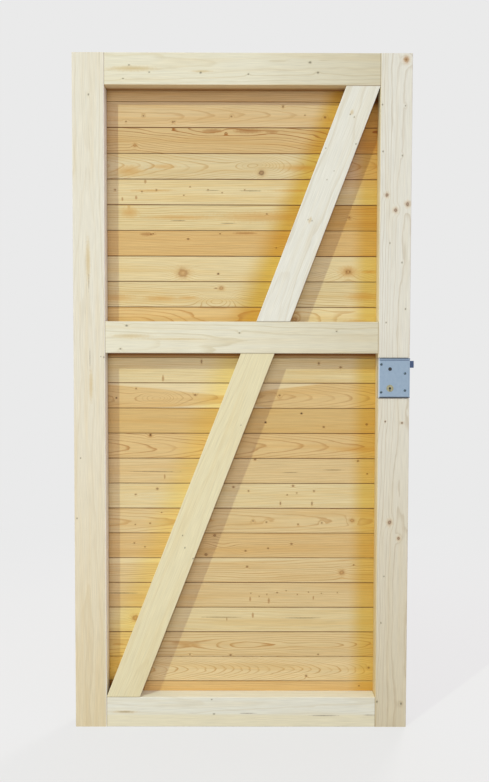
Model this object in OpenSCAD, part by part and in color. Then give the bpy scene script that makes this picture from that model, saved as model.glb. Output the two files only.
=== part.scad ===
// Barn door leaf: tenoned softwood frame, two braces, tongue-and-groove boards and a rim lock.
// The frame side faces -Y and the boards face +Y. The hinge side is at -X and the lock at +X.
// The origin is at the bottom of the leaf, in the middle of its width and thickness.

/* [Leaf] */
// Height of the leaf
leaf_h = 2040; // [1900:10:2200]
// Width of the leaf
leaf_w = 1015; // [850:5:1150]

/* [Frame] */
// Thickness of stiles, rails and braces
frame_t = 45; // [42:1:56]
// Width of the two stiles
stile_w = 95; // [92:1:110]
// Height of the top rail
top_rail_h = 95; // [90:1:120]
// Height of the middle rail
mid_rail_h = 95; // [90:1:120]
// Height of the bottom rail, trimmed to clear the ground
bottom_rail_h = 92; // [88:1:120]
// Height of the middle rail's underside above the bottom of the leaf
mid_rail_z = 1148; // [1146:1:1250]
// Bevel along the planed edges
arris = 1; // [0.5:0.1:2]
// Thickness of the tenons
tenon_t = 15; // [12:1:18]
// Length of the tenons into the stiles
tenon_len = 58; // [40:1:62]
// Shoulder above and below a tenon, on the side towards a panel
tenon_shoulder = 10; // [6:1:16]
// Shoulder of the outer rails' tenons on the side of the leaf's edge
tenon_haunch = 30; // [20:1:36]

/* [Braces] */
// Width of the braces
brace_w = 95; // [80:1:110]
// How far the upper brace runs sideways between its foot and its head
upper_brace_run = 267; // [200:1:330]
// How far the lower brace runs sideways between its foot and its head
lower_brace_run = 410; // [300:1:500]

/* [Boards] */
// Thickness of the boards
board_t = 18; // [16:1:22]
// Height that one board covers
board_cover = 77.8; // [70:0.1:95]
// Height of the ripped board at the bottom
first_board_h = 45; // [30:1:70]
// Thickness of the tongues
tongue_t = 6; // [5:0.5:7]
// Length of the tongues
tongue_len = 7; // [5:0.5:9]
// Open joint between the faces of two boards
board_gap = 0.8; // [0.4:0.1:1.5]
// Bevel along the boards' long edges
board_bevel = 0.8; // [0.5:0.1:1.5]

/* [Nails] */
// Length of the nails
nail_len = 40; // [32:1:42]
// Radius of the nails' shanks
nail_r = 1.15; // [0.9:0.05:1.4]
// Radius of the nails' heads
nail_head_r = 2.6; // [2:0.1:3.2]
// Thickness of the nails' heads
nail_head_t = 1.2; // [0.8:0.1:1.6]
// Distance of the end nails from the ends of the boards
nail_inset = 24; // [22:1:28]
// Half the spacing of the two nails at the end of a board
nail_half_pitch = 20; // [14:1:24]
// Distance of the rail nails from the middle of the leaf
rail_nail_x = 170; // [120:5:240]
// Least distance of a nail from the edge of the timber that it holds
nail_edge = 4; // [3:0.5:8]

/* [Lock] */
// Width of the lock, forend included
lock_w = 95; // [90:1:95]
// Height of the lock
lock_h = 120; // [118:1:128]
// Depth of the lock, without the raised field of its cover
lock_d = 21; // [20:0.5:23]
// Distance of the lock's top below the middle rail
lock_gap = 14; // [4:1:24]
// Depth of the notch that the lock is let into
notch_depth = 18; // [16:0.5:20]
// Sheet thickness of the case
case_t = 1.5; // [1.2:0.1:2]
// Sheet thickness of the cover
cover_t = 1.5; // [1.2:0.1:2]
// Thickness of the forend
forend_t = 3; // [2.5:0.1:4]
// Flat border of the cover beside and below its raised field
field_margin = 3; // [2:0.5:4]
// Height of the case's lip that holds the cover's top edge
lip_h = 5; // [4:0.5:6]
// Groove between the lip and the cover's raised field
lip_gap = 1.5; // [1:0.1:2]
// Height of the raised field
field_h = 1; // [0.6:0.1:1.4]
// Width of the raised field's sloping edge
field_slope = 1.5; // [1:0.1:2]
// Distance of the follower and key axes from the forend's face
backset = 60; // [58:0.5:61]
// Distance of the follower axis below the top of the lock
follower_drop = 33; // [33:0.5:36]
// Distance of the key axis below the follower axis
key_drop = 58; // [57:0.5:60]

/* [Latch] */
// How far the latch stands out of the forend
latch_out = 15; // [13:0.5:16]
// How far the latch can be drawn in
latch_travel = 14.5; // [12:0.5:14.5]
// Height of the latch head
latch_h = 21; // [18:0.5:22]
// Thickness of the latch head
latch_t = 14; // [12:0.5:15]
// Thickness left at the tip of the latch
latch_nose = 3; // [2:0.5:5]
// Length of the latch body behind the forend
latch_body = 20; // [16:0.5:22]
// Height of the latch's middle above the follower axis
latch_rise = 14.5; // [14:0.5:16]
// Step that stops the latch behind the forend
latch_shoulder = 1.5; // [1:0.1:2]
// Thickness of the latch and bolt tails
tail_t = 4; // [3:0.5:5]
// Height of the latch tail's bar
tail_bar_h = 6.7; // [6:0.1:7]
// Width of the two lugs that hold the follower's arm
lug_w = 4; // [3:0.5:5]

/* [Follower] */
// Side of the square spindle hole
spindle_side = 8; // [7:0.5:9]
// Radius of the follower's journals
journal_r = 8; // [7:0.25:8.5]
// Radius of the follower's hub
hub_r = 9; // [8.8:0.1:10]
// Distance of the arm's round tip from the follower axis
arm_r = 15.5; // [15:0.1:16]
// Radius of the arm's round tip
arm_tip_r = 3; // [2.5:0.1:3.2]
// Width of the arm between hub and tip
arm_neck_w = 4; // [3:0.5:4.5]

/* [Dead bolt] */
// How far the dead bolt is thrown
bolt_throw = 15; // [12:0.5:16]
// Height of the bolt head
bolt_h = 22; // [18:0.5:24]
// Thickness of the bolt head
bolt_t = 12; // [10:0.5:14]
// Length of the bolt head
bolt_head_len = 20; // [16:0.5:22]
// Height of the bolt's middle above the key axis
bolt_rise = 18; // [17:0.5:19]
// Height of the bolt's tail
bolt_tail_h = 14; // [12:0.5:15]
// Reach of the bolt's tail past the key axis
bolt_tail_reach = 22; // [18:0.5:24]
// Width of the talon that the key turns in
talon_w = 7; // [6:0.5:8]
// Depth of the talon
talon_depth = 5; // [4:0.5:6]
// Radius of the stump that guides the bolt
stump_r = 3; // [2.5:0.1:3.5]
// Distance of the stump from the key axis, towards the forend
stump_x = 22.5; // [20:0.5:24]

/* [Springs] */
// Radius of the latch spring's wire
latch_wire_r = 0.4; // [0.3:0.05:0.5]
// Outer radius of the latch spring
latch_coil_r = 3; // [2.6:0.1:3.2]
// Turns of the latch spring
latch_coil_turns = 9; // [7:1:11]
// Radius of the spigots inside the latch spring
spigot_r = 1.5; // [1.2:0.1:1.8]
// Length of the spigots inside the latch spring
spigot_len = 6; // [4:0.5:7]
// Thickness of the bolt's leaf spring
leaf_spring_t = 0.6; // [0.4:0.05:0.8]
// Width of the bolt's leaf spring
leaf_spring_w = 8; // [6:0.5:9]
// Distance of the leaf spring's bent end from the key axis, away from the forend
leaf_spring_offset = 16.5; // [14:0.5:18]
// Length of the bolt's leaf spring
leaf_spring_len = 46; // [40:1:48]
// Height of the leaf spring's bent end
leaf_spring_rise = 11; // [9:0.5:13]
// Radius of the slotted post that holds the leaf spring
spring_post_r = 3; // [2.5:0.1:3.5]

/* [Keyway and screws] */
// Radius of the round part of the keyhole
key_r = 3.4; // [3:0.1:4]
// Width of the keyhole's slot
key_slot_w = 3; // [2.5:0.1:3.5]
// Reach of the keyhole's slot below the key axis
key_slot_reach = 8; // [7:0.25:8]
// Radius of the key bush inside the cover
bush_r = 9; // [8.8:0.1:9.5]
// Radius of the key bush's rim
bush_rim_r = 10.5; // [10:0.1:12]
// Thickness of the key bush's rim
bush_rim_t = 1.2; // [0.8:0.1:1.6]
// Depth of the key bush behind the cover's face
bush_depth = 4; // [3:0.5:6]
// Radius of the drilled ways for spindle and key through stile and board
passage_r = 9; // [8.5:0.5:10]
// Distance of the left screws from the lock's inner edge
screw_inset_left = 8.5; // [8.5:0.5:10]
// Distance of the right screws from the forend's face
screw_inset_right = 15; // [12:0.5:16]
// Distance of the upper left screw below the top of the lock
upper_left_drop = 19; // [18:0.5:24]
// Distance of the upper right screw below the top of the lock
upper_right_drop = 46; // [42:0.5:48]
// Distance of the lower left screw above the bottom of the lock
lower_left_rise = 17; // [10:0.5:24]
// Distance of the lower right screw above the bottom of the lock
lower_right_rise = 22.5; // [10:0.5:26]
// Outer radius of the spacing pillars
pillar_r = 4.2; // [4:0.1:4.4]
// Radius of the pillars' necks
pillar_neck_r = 3.5; // [3.2:0.1:3.8]
// Thickness of the pillars' riveted rim
pillar_rim_t = 0.8; // [0.5:0.1:1]
// Radius of the lock screws' shanks
screw_r = 2; // [1.7:0.1:2.2]
// Radius of the lock screws' heads
screw_head_r = 3.8; // [3.2:0.1:4.2]
// Height of the lock screws' heads
screw_head_h = 2.2; // [1.6:0.1:2.6]
// Width of the slots in the screw heads
screw_slot_w = 0.9; // [0.7:0.1:1.1]
// Depth of the screws in the wood behind the lock
screw_bite = 20; // [14:1:22]

/* [Fits] */
// Clearance around tenons
tenon_fit = 0.1; // [0.05:0.05:0.3]
// Room at the end of a mortise
mortise_room = 2; // [1:0.5:3]
// Clearance of a tongue in its groove, on each side
tongue_fit = 0.2; // [0.1:0.05:0.4]
// Room at the bottom of a groove
groove_room = 0.8; // [0.4:0.1:1.5]
// Radial clearance of nails and screws in the wood
driven_fit = 0.05; // [0.02:0.01:0.1]
// Gap above and below the lock in its notch
notch_fit = 1.5; // [0.5:0.1:2]
// Radial clearance of turning and riveted round pieces
running_fit = 0.05; // [0.02:0.01:0.1]
// Clearance of sliding bolts in their slots
sliding_fit = 0.2; // [0.1:0.05:0.3]
// End play of the follower, and play between the arm and its lugs
follower_play = 0.5; // [0.3:0.1:0.7]

/* [Hidden] */
$fn = 48;
// Sides of the coil's wire, and rings along one turn of it
coil_sides = 6;
coil_steps = 14;
// How far a cut runs past the face that it opens
over = 1;
leaf_t = frame_t + board_t;
front_y = -leaf_t / 2;
frame_y = front_y + frame_t / 2;
board_y = front_y + frame_t;
back_y = leaf_t / 2;
panel_w = leaf_w - 2 * stile_w;
top_rail_z = leaf_h - top_rail_h;
mid_rail_top = mid_rail_z + mid_rail_h;

upper_rise = top_rail_z - mid_rail_top;
lower_rise = mid_rail_z - bottom_rail_h;
upper_angle = atan(upper_brace_run / upper_rise);
lower_angle = atan(lower_brace_run / lower_rise);
upper_foot_x = panel_w / 2 - brace_w / cos(upper_angle) / 2 - upper_brace_run;
lower_foot_x = -panel_w / 2 + brace_w / cos(lower_angle) / 2;

// The boards: a ripped one at the bottom, full ones, and a ripped one at the top.
full_boards = floor((leaf_h - first_board_h - 1) / board_cover);
board_count = full_boards + 2;
function board_name(i) = str("board_", i < 9 ? "0" : "", i + 1);
function board_z0(i) = i == 0 ? 0 : first_board_h + (i - 1) * board_cover;
function board_z1(i) = i == board_count - 1 ? leaf_h : first_board_h + i * board_cover;
function board_mid(i) = (board_z0(i) + board_z1(i)) / 2;
function is_full(i) = i > 0 && i < board_count - 1;

// Where the nails go, as [x, z] points: two at each end of a full board, one in a brace behind it,
// and two along a rail behind it.
nail_x = leaf_w / 2 - nail_inset;
function end_rows(i) = is_full(i) ? [-nail_half_pitch, nail_half_pitch] : [0];
function end_nails(i) = [for (x = [-nail_x, nail_x], row = end_rows(i)) [x, board_mid(i) + row]];
function clear_of(z, low, high) = z > low + nail_inset && z < high - nail_inset;
function brace_nails(i) = let (z = board_mid(i)) concat(
    clear_of(z, mid_rail_top, top_rail_z)
        ? [[upper_foot_x + (z - mid_rail_top) * tan(upper_angle), z]] : [],
    clear_of(z, bottom_rail_h, mid_rail_z)
        ? [[lower_foot_x + (z - bottom_rail_h) * tan(lower_angle), z]] : []);
function within(z, low, high) = z > low + nail_edge && z < high - nail_edge;
function on_rail(z) = within(z, 0, bottom_rail_h) || within(z, mid_rail_z, mid_rail_top)
    || within(z, top_rail_z, leaf_h);
function rail_nails(i) = on_rail(board_mid(i))
    ? [for (x = [-rail_nail_x, rail_nail_x]) [x, board_mid(i)]] : [];
function board_nails(i) = concat(end_nails(i), brace_nails(i), rail_nails(i));
all_end_nails = [for (i = [0 : board_count - 1]) each end_nails(i)];
all_brace_nails = [for (i = [0 : board_count - 1]) each brace_nails(i)];
all_rail_nails = [for (i = [0 : board_count - 1]) each rail_nails(i)];

// Places in the lock
lock_x1 = leaf_w / 2;
lock_x0 = lock_x1 - lock_w;
lock_top = mid_rail_z - lock_gap;
lock_z = lock_top - lock_h;
lock_back = front_y + notch_depth;
lock_front = lock_back - lock_d;
lip_front = lock_front - case_t;
field_front = lock_front - field_h;
base_in = lock_back - case_t;
cover_in = lock_front + cover_t;
mech_y = (base_in + cover_in) / 2;
axis_x = lock_x1 - backset;
follower_z = lock_top - follower_drop;
key_z = follower_z - key_drop;
screw_places = [
    [lock_x0 + screw_inset_left, lock_top - upper_left_drop],
    [lock_x1 - screw_inset_right, lock_top - upper_right_drop],
    [lock_x0 + screw_inset_left, lock_z + lower_left_rise],
    [lock_x1 - screw_inset_right, lock_z + lower_right_rise]];

forend_in = lock_x1 - forend_t;
latch_z = follower_z + latch_rise;
latch_in = forend_in - latch_body;
// The arm leans towards the forend at rest by half of its turn, so that its tip moves as far as the latch.
arm_lean = asin(latch_travel / (2 * arm_r));
tip_x = axis_x + arm_r * sin(arm_lean);
tail_z = follower_z + arm_r + arm_tip_r + 1.5 * follower_play;
tail_end = tip_x - arm_tip_r - follower_play - lug_w;
lug_z = follower_z + arm_r - arm_tip_r;
spring_z = tail_z + tail_bar_h / 2;

bolt_z = key_z + bolt_rise;
bolt_in = lock_x1 - bolt_head_len;
bolt_tail_x = axis_x - bolt_tail_reach;
stump_place = axis_x + stump_x;
leaf_spring_z = bolt_z + bolt_tail_h / 2 + sliding_fit;
leaf_spring_x = axis_x - leaf_spring_offset;

pine = [0.87, 0.70, 0.42];
spruce = [0.91, 0.87, 0.76];
zinc = [0.63, 0.68, 0.74];
bolt_steel = [0.36, 0.41, 0.50];
spring_steel = [0.45, 0.46, 0.48];
brass = [0.80, 0.66, 0.36];

// A round piece that runs along +Y from y0 to y1
module round_y(x, z, r, y0, y1)
    translate([x, y0, z]) rotate([-90, 0, 0]) cylinder(r = r, h = y1 - y0);

// A box between two corners
module block(low, high)
    translate(low) cube(high - low);

// A planed timber that stands along +Z, with bevelled edges
module timber(width, length)
    linear_extrude(length) polygon([
        [-width / 2 + arris, -frame_t / 2], [width / 2 - arris, -frame_t / 2],
        [width / 2, -frame_t / 2 + arris], [width / 2, frame_t / 2 - arris],
        [width / 2 - arris, frame_t / 2], [-width / 2 + arris, frame_t / 2],
        [-width / 2, frame_t / 2 - arris], [-width / 2, -frame_t / 2 + arris]]);

// The round shape of one nail, grown by a clearance
module nail(place, grow)
    translate([place[0], back_y, place[1]]) rotate([90, 0, 0]) {
        translate([0, 0, -grow]) cylinder(r = nail_head_r + grow, h = nail_head_t + grow);
        cylinder(r = nail_r + grow, h = nail_len + grow);
    }

module nail_holes(places)
    for (place = places) nail(place, driven_fit);

// Both tenons of a rail, between two heights and grown by a clearance
module tenons(low, high, grow, room)
    block([-panel_w / 2 - tenon_len - room, frame_y - tenon_t / 2 - grow, low - grow],
        [panel_w / 2 + tenon_len + room, frame_y + tenon_t / 2 + grow, high + grow]);

module top_tenons(grow, room)
    tenons(top_rail_z + tenon_shoulder, leaf_h - tenon_haunch, grow, room);

module mid_tenons(grow, room)
    tenons(mid_rail_z + tenon_shoulder, mid_rail_top - tenon_shoulder, grow, room);

module bottom_tenons(grow, room)
    tenons(tenon_haunch, bottom_rail_h - tenon_shoulder, grow, room);

module stile(x, side_nails)
    difference() {
        translate([x, frame_y, 0]) timber(stile_w, leaf_h);
        top_tenons(tenon_fit, mortise_room);
        mid_tenons(tenon_fit, mortise_room);
        bottom_tenons(tenon_fit, mortise_room);
        nail_holes(side_nails);
    }

module hinge_stile()
    color(spruce) stile(-(leaf_w - stile_w) / 2, [for (p = all_end_nails) if (p[0] < 0) p]);

// The lock stile has a notch for the lock, ways for spindle and key, and pilot holes for the screws.
module lock_stile()
    color(spruce) difference() {
        stile((leaf_w - stile_w) / 2, [for (p = all_end_nails) if (p[0] > 0) p]);
        block([panel_w / 2 - over, front_y - over, lock_z - notch_fit],
            [leaf_w / 2 + over, lock_back, lock_top + notch_fit]);
        for (z = [follower_z, key_z])
            round_y(axis_x, z, passage_r, lock_back - over, board_y + over);
        for (place = screw_places)
            round_y(place[0], place[1], screw_r + driven_fit,
                lock_back - over, lock_back + screw_bite + over);
    }

module rail(low, height)
    translate([-panel_w / 2, frame_y, low + height / 2]) rotate([0, 90, 0]) timber(height, panel_w);

module nailed_rail(low, high)
    difference() {
        children();
        nail_holes([for (p = all_rail_nails) if (p[1] > low && p[1] < high) p]);
    }

module top_rail()
    color(spruce) nailed_rail(top_rail_z, leaf_h) {
        union() {
            rail(top_rail_z, top_rail_h);
            top_tenons(0, 0);
        }
    }

module mid_rail()
    color(spruce) nailed_rail(mid_rail_z, mid_rail_top) {
        union() {
            rail(mid_rail_z, mid_rail_h);
            mid_tenons(0, 0);
        }
    }

module bottom_rail()
    color(spruce) nailed_rail(0, bottom_rail_h) {
        union() {
            rail(0, bottom_rail_h);
            bottom_tenons(0, 0);
        }
    }

// A leaning timber, cut level where it stands on one rail and meets the next
module brace(foot_x, low, high, angle)
    difference() {
        intersection() {
            translate([foot_x, frame_y, low]) rotate([0, angle, 0]) translate([0, 0, -brace_w])
                timber(brace_w, (high - low) / cos(angle) + 2 * brace_w);
            block([-panel_w / 2, front_y, low], [panel_w / 2, board_y, high]);
        }
        nail_holes([for (p = all_brace_nails) if (p[1] > low && p[1] < high) p]);
    }

module upper_brace()
    color(spruce) brace(upper_foot_x, mid_rail_top, top_rail_z, upper_angle);

module lower_brace()
    color(spruce) brace(lower_foot_x, bottom_rail_h, mid_rail_z, lower_angle);

// The section of a board in depth and height, with a groove below and a tongue above where it has them
module board_section(low, high, grooved, tongued) {
    mid = board_y + board_t / 2;
    slot = tongue_t / 2 + tongue_fit;
    slot_top = low + tongue_len + groove_room;
    below = grooved
        ? [[mid + slot, low], [mid + slot, slot_top], [mid - slot, slot_top], [mid - slot, low]]
        : [];
    above = tongued
        ? [[mid - tongue_t / 2, high], [mid - tongue_t / 2, high + tongue_len],
           [mid + tongue_t / 2, high + tongue_len], [mid + tongue_t / 2, high]]
        : [];
    polygon(concat(
        [[back_y, low + board_bevel], [back_y - board_bevel, low]],
        below,
        [[board_y + board_bevel, low], [board_y, low + board_bevel],
         [board_y, high - board_bevel], [board_y + board_bevel, high]],
        above,
        [[back_y - board_bevel, high], [back_y, high - board_bevel]]));
}

module board(i) {
    low = board_z0(i) + (i == 0 ? 0 : board_gap / 2);
    high = board_z1(i) - (i == board_count - 1 ? 0 : board_gap / 2);
    color(pine) difference() {
        translate([-leaf_w / 2, 0, 0]) rotate([90, 0, 90])
            linear_extrude(leaf_w) board_section(low, high, i > 0, i < board_count - 1);
        nail_holes(board_nails(i));
        for (z = [follower_z, key_z])
            if (z > board_z0(i) - passage_r && z < board_z1(i) + passage_r)
                round_y(axis_x, z, passage_r, board_y - over, back_y + over);
    }
}

module cladding_nails()
    color(zinc) for (i = [0 : board_count - 1], place = board_nails(i)) nail(place, 0);

// The keyhole's outline, pushed through along +Y
module keyhole(y0, y1) {
    round_y(axis_x, key_z, key_r, y0, y1);
    block([axis_x - key_slot_w / 2, y0, key_z - key_slot_reach], [axis_x + key_slot_w / 2, y1, key_z]);
}

// The folded case: a pan with a thick forend, a lip over the cover's top edge, and posts for the works
module lock_case()
    color(zinc) difference() {
        union() {
            difference() {
                block([lock_x0, cover_in, lock_z], [lock_x1, lock_back, lock_top]);
                block([lock_x0 + case_t, cover_in - over, lock_z + case_t],
                    [forend_in, base_in, lock_top - case_t]);
            }
            block([lock_x0, lip_front, lock_top - case_t], [lock_x1, base_in, lock_top]);
            block([lock_x0, lip_front, lock_top - lip_h], [lock_x1, lock_front, lock_top]);
            round_y(stump_place, bolt_z, stump_r, mech_y - tail_t, base_in + case_t / 2);
            translate([lock_x0 + case_t / 2, mech_y, spring_z]) rotate([0, 90, 0])
                cylinder(r = spigot_r, h = case_t / 2 + spigot_len);
            difference() {
                round_y(leaf_spring_x + leaf_spring_t / 2, leaf_spring_z + leaf_spring_rise - spring_post_r,
                    spring_post_r, mech_y - leaf_spring_w / 2 - leaf_spring_t, base_in + case_t / 2);
                block([leaf_spring_x - running_fit, cover_in, leaf_spring_z],
                    [leaf_spring_x + leaf_spring_t + running_fit, mech_y + leaf_spring_w / 2 + running_fit,
                     leaf_spring_z + leaf_spring_rise + spring_post_r]);
            }
        }
        block([forend_in - over, mech_y - latch_t / 2 - sliding_fit, latch_z - latch_h / 2 - sliding_fit],
            [lock_x1 + over, mech_y + latch_t / 2 + sliding_fit, latch_z + latch_h / 2 + sliding_fit]);
        block([forend_in - over, mech_y - bolt_t / 2 - sliding_fit, bolt_z - bolt_h / 2 - sliding_fit],
            [lock_x1 + over, mech_y + bolt_t / 2 + sliding_fit, bolt_z + bolt_h / 2 + sliding_fit]);
        round_y(axis_x, follower_z, journal_r + running_fit, base_in - over, lock_back + over);
        keyhole(base_in - over, lock_back + over);
        for (place = screw_places)
            round_y(place[0], place[1], pillar_neck_r + running_fit, base_in - over, lock_back + over);
    }

// The raised field of the cover: sloping edges all round, drawn in by an inset
module cover_field(base_y, inset) {
    low_x = lock_x0 + field_margin + inset;
    high_x = lock_x1 - field_margin - inset;
    low_z = lock_z + field_margin + inset;
    high_z = lock_top - lip_h - lip_gap - inset;
    deep = base_y + cover_t;
    intersection() {
        translate([0, 0, low_z]) linear_extrude(high_z - low_z) polygon([
            [low_x, deep], [low_x, base_y], [low_x + field_slope, base_y - field_h],
            [high_x - field_slope, base_y - field_h], [high_x, base_y], [high_x, deep]]);
        translate([low_x, 0, 0]) rotate([90, 0, 90]) linear_extrude(high_x - low_x) polygon([
            [deep, low_z], [base_y, low_z], [base_y - field_h, low_z + field_slope],
            [base_y - field_h, high_z - field_slope], [base_y, high_z], [deep, high_z]]);
    }
}

module lock_cover()
    color(zinc) difference() {
        union() {
            block([lock_x0, lock_front, lock_z], [lock_x1, cover_in, lock_top - case_t - running_fit]);
            cover_field(lock_front, 0);
        }
        cover_field(cover_in, cover_t / 2);
        round_y(axis_x, follower_z, journal_r + running_fit, field_front - over, cover_in + over);
        round_y(axis_x, key_z, bush_r + running_fit, field_front - over, cover_in + over);
        for (place = screw_places)
            round_y(place[0], place[1], pillar_neck_r + running_fit, field_front - over, cover_in + over);
    }

module key_bush()
    color(brass) difference() {
        union() {
            round_y(axis_x, key_z, bush_rim_r, field_front - bush_rim_t, field_front);
            round_y(axis_x, key_z, bush_r, field_front - bush_rim_t / 2, field_front + bush_depth);
        }
        keyhole(field_front - bush_rim_t - over, field_front + bush_depth + over);
    }

// Hollow pillars that space the cover from the case and are riveted over on its face
module lock_pillars()
    color(zinc) for (place = screw_places)
        difference() {
            union() {
                round_y(place[0], place[1], pillar_r, cover_in, base_in);
                round_y(place[0], place[1], pillar_neck_r, field_front - pillar_rim_t / 2, lock_back);
                round_y(place[0], place[1], pillar_r, field_front - pillar_rim_t, field_front);
            }
            round_y(place[0], place[1], screw_r + running_fit,
                field_front - pillar_rim_t - over, lock_back + over);
        }

// Round-headed wood screws: a domed head with a slot, a shank and a point
module lock_screws() {
    seat = field_front - pillar_rim_t;
    shank = lock_back + screw_bite - seat;
    dome_r = (screw_head_r * screw_head_r + screw_head_h * screw_head_h) / (2 * screw_head_h);
    color(zinc) for (place = screw_places)
        translate([place[0], seat, place[1]]) rotate([-90, 0, 0]) {
            difference() {
                intersection() {
                    translate([0, 0, dome_r - screw_head_h]) sphere(r = dome_r);
                    translate([0, 0, -screw_head_h]) cylinder(r = screw_head_r, h = screw_head_h);
                }
                translate([-screw_head_r, -screw_slot_w / 2, -screw_head_h - over])
                    cube([2 * screw_head_r, screw_slot_w, screw_head_h / 2 + over]);
            }
            cylinder(r = screw_r, h = shank - 2 * screw_r);
            translate([0, 0, shank - 2 * screw_r]) cylinder(r1 = screw_r, r2 = screw_r / 8, h = 2 * screw_r);
        }
}

// The follower: a hub on two journals, a square hole for the spindle and an arm that draws the latch
module follower()
    color(bolt_steel) difference() {
        union() {
            round_y(axis_x, follower_z, hub_r, cover_in + follower_play, base_in - follower_play);
            round_y(axis_x, follower_z, journal_r, field_front, lock_back);
            translate([axis_x, mech_y, follower_z]) rotate([0, arm_lean, 0]) {
                block([-arm_neck_w / 2, -tail_t / 2, 0], [arm_neck_w / 2, tail_t / 2, arm_r]);
                round_y(0, arm_r, arm_tip_r, -tail_t / 2, tail_t / 2);
            }
        }
        translate([axis_x - spindle_side / 2, field_front - over, follower_z - spindle_side / 2])
            cube([spindle_side, lock_back - field_front + 2 * over, spindle_side]);
    }

// The spring latch: a bevelled head behind the forend, and a tail whose lugs hold the follower's arm
module latch_bolt()
    color(bolt_steel) union() {
        translate([0, 0, latch_z - latch_h / 2]) linear_extrude(latch_h) polygon([
            [latch_in, mech_y - latch_t / 2], [lock_x1 + arris, mech_y - latch_t / 2],
            [lock_x1 + latch_out, mech_y + latch_t / 2 - latch_nose],
            [lock_x1 + latch_out, mech_y + latch_t / 2], [latch_in, mech_y + latch_t / 2]]);
        block([latch_in, mech_y - latch_t / 2, latch_z - latch_h / 2 - latch_shoulder],
            [forend_in - sliding_fit, mech_y + latch_t / 2, latch_z + latch_h / 2 + latch_shoulder]);
        block([tail_end, mech_y - tail_t / 2, tail_z],
            [latch_in + over, mech_y + tail_t / 2, tail_z + tail_bar_h]);
        for (x = [tail_end, tip_x + arm_tip_r + follower_play])
            block([x, mech_y - tail_t / 2, lug_z], [x + lug_w, mech_y + tail_t / 2, tail_z + over]);
        translate([tail_end - spigot_len, mech_y, spring_z]) rotate([0, 90, 0])
            cylinder(r = spigot_r, h = spigot_len + lug_w / 2);
    }

// A coil along +X, swept as rings of points round its helix
module coil(length, outer_r, wire_r, turns, sides, steps) {
    mean_r = outer_r - wire_r;
    rings = turns * steps;
    slope = atan((length - 2 * wire_r) / turns / (2 * PI * mean_r));
    function along(k) = wire_r + (length - 2 * wire_r) * k / rings;
    function ring_point(k, j) =
        let (turn = 360 * k / steps, round = 360 * j / sides, out = mean_r + wire_r * cos(round),
            side = wire_r * sin(round))
        [along(k) + side * cos(slope),
         out * cos(turn) + side * sin(slope) * sin(turn),
         out * sin(turn) - side * sin(slope) * cos(turn)];
    points = [for (k = [0 : rings], j = [0 : sides - 1]) ring_point(k, j)];
    walls = [for (k = [0 : rings - 1], j = [0 : sides - 1])
        let (next = (j + 1) % sides, here = k * sides, ahead = (k + 1) * sides)
        each [[here + j, here + next, ahead + next], [here + j, ahead + next, ahead + j]]];
    first_cap = [for (j = [sides - 1 : -1 : 0]) j];
    last_cap = [for (j = [0 : sides - 1]) rings * sides + j];
    polyhedron(points, concat(walls, [first_cap, last_cap]));
}

module latch_spring()
    color(spring_steel)
        translate([lock_x0 + case_t + sliding_fit / 2, mech_y, spring_z])
            coil(tail_end - lock_x0 - case_t - sliding_fit, latch_coil_r, latch_wire_r,
                latch_coil_turns, coil_sides, coil_steps);

// The dead bolt: a plain head flush with the forend, and a tail with a talon for the key
// and a slot for the stump
module dead_bolt()
    color(bolt_steel) difference() {
        union() {
            block([bolt_in, mech_y - bolt_t / 2, bolt_z - bolt_h / 2],
                [lock_x1, mech_y + bolt_t / 2, bolt_z + bolt_h / 2]);
            block([bolt_tail_x, mech_y - tail_t / 2, bolt_z - bolt_tail_h / 2],
                [bolt_in + over, mech_y + tail_t / 2, bolt_z + bolt_tail_h / 2]);
        }
        block([axis_x - bolt_throw / 2 - talon_w / 2, mech_y - tail_t, bolt_z - bolt_tail_h / 2 - over],
            [axis_x - bolt_throw / 2 + talon_w / 2, mech_y + tail_t, bolt_z - bolt_tail_h / 2 + talon_depth]);
        for (x = [stump_place - bolt_throw, stump_place])
            round_y(x, bolt_z, stump_r + sliding_fit, mech_y - tail_t, mech_y + tail_t);
        block([stump_place - bolt_throw, mech_y - tail_t, bolt_z - stump_r - sliding_fit],
            [stump_place, mech_y + tail_t, bolt_z + stump_r + sliding_fit]);
    }

// The leaf spring that bears on the dead bolt's tail, with its bent end in a slotted post
module bolt_spring()
    color(spring_steel) union() {
        block([leaf_spring_x, mech_y - leaf_spring_w / 2, leaf_spring_z],
            [leaf_spring_x + leaf_spring_len, mech_y + leaf_spring_w / 2, leaf_spring_z + leaf_spring_t]);
        block([leaf_spring_x, mech_y - leaf_spring_w / 2, leaf_spring_z],
            [leaf_spring_x + leaf_spring_t, mech_y + leaf_spring_w / 2, leaf_spring_z + leaf_spring_rise]);
    }

hinge_stile();
lock_stile();
top_rail();
mid_rail();
bottom_rail();
upper_brace();
lower_brace();
for (i = [0 : board_count - 1])
    board(i);
cladding_nails();
lock_case();
lock_cover();
key_bush();
lock_pillars();
lock_screws();
follower();
latch_bolt();
latch_spring();
dead_bolt();
bolt_spring();
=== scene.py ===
# Braced barn door leaf: planed spruce frame, knotty pine boards and a zinc-plated rim lock.
import math

import bmesh
import bpy
from mathutils import Matrix, Vector


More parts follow.
